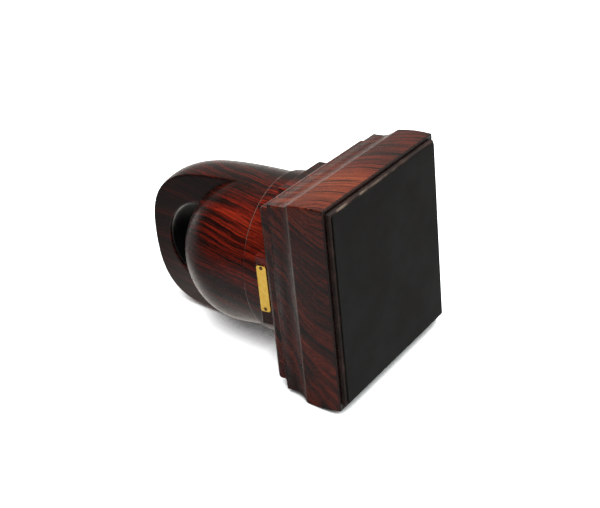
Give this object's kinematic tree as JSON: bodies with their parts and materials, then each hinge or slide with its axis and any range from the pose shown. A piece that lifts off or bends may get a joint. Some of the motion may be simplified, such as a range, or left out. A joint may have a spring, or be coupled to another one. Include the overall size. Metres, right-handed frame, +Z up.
{
  "type": "dip pen holder",
  "caption": "Turned hardwood dip pen holder: a hooded body with a black-lined well and rounded front lip, on a round foot and a square moulded plinth, with a blank brass plate.",
  "frame": {"origin": "centre of the base pad's underside, where the holder rests on the desk", "axes": "+Z up along the turning axis; -Y is the front, with the name plate and the mouth of the hood; +X is the right-hand side seen from the front"},
  "size_m": [0.101, 0.101, 0.1355],
  "materials": {
    "rosewood": "polished lacquer over dark figured rosewood",
    "raw_wood": "sawn and unfinished",
    "pale_wood": "plain turned hardwood",
    "pad": "fine-grained black leather, satin",
    "liner": "gloss black",
    "brass": "polished",
    "steel": "zinc-plated screw steel"
  },
  "bodies": {
    "root": {"base_pad": "pad", "base_board": "raw_wood", "board_screws": "steel", "plinth_block": "rosewood", "plinth_cap": "rosewood", "locating_dowels": "pale_wood", "screw_washer": "steel", "centre_screw": "steel", "foot_collar": "rosewood", "tenon_plug": "pale_wood", "hooded_body": "rosewood", "well_liner": "liner", "name_plate": "brass", "plate_pins": "brass"}
  },
  "joints": []
}
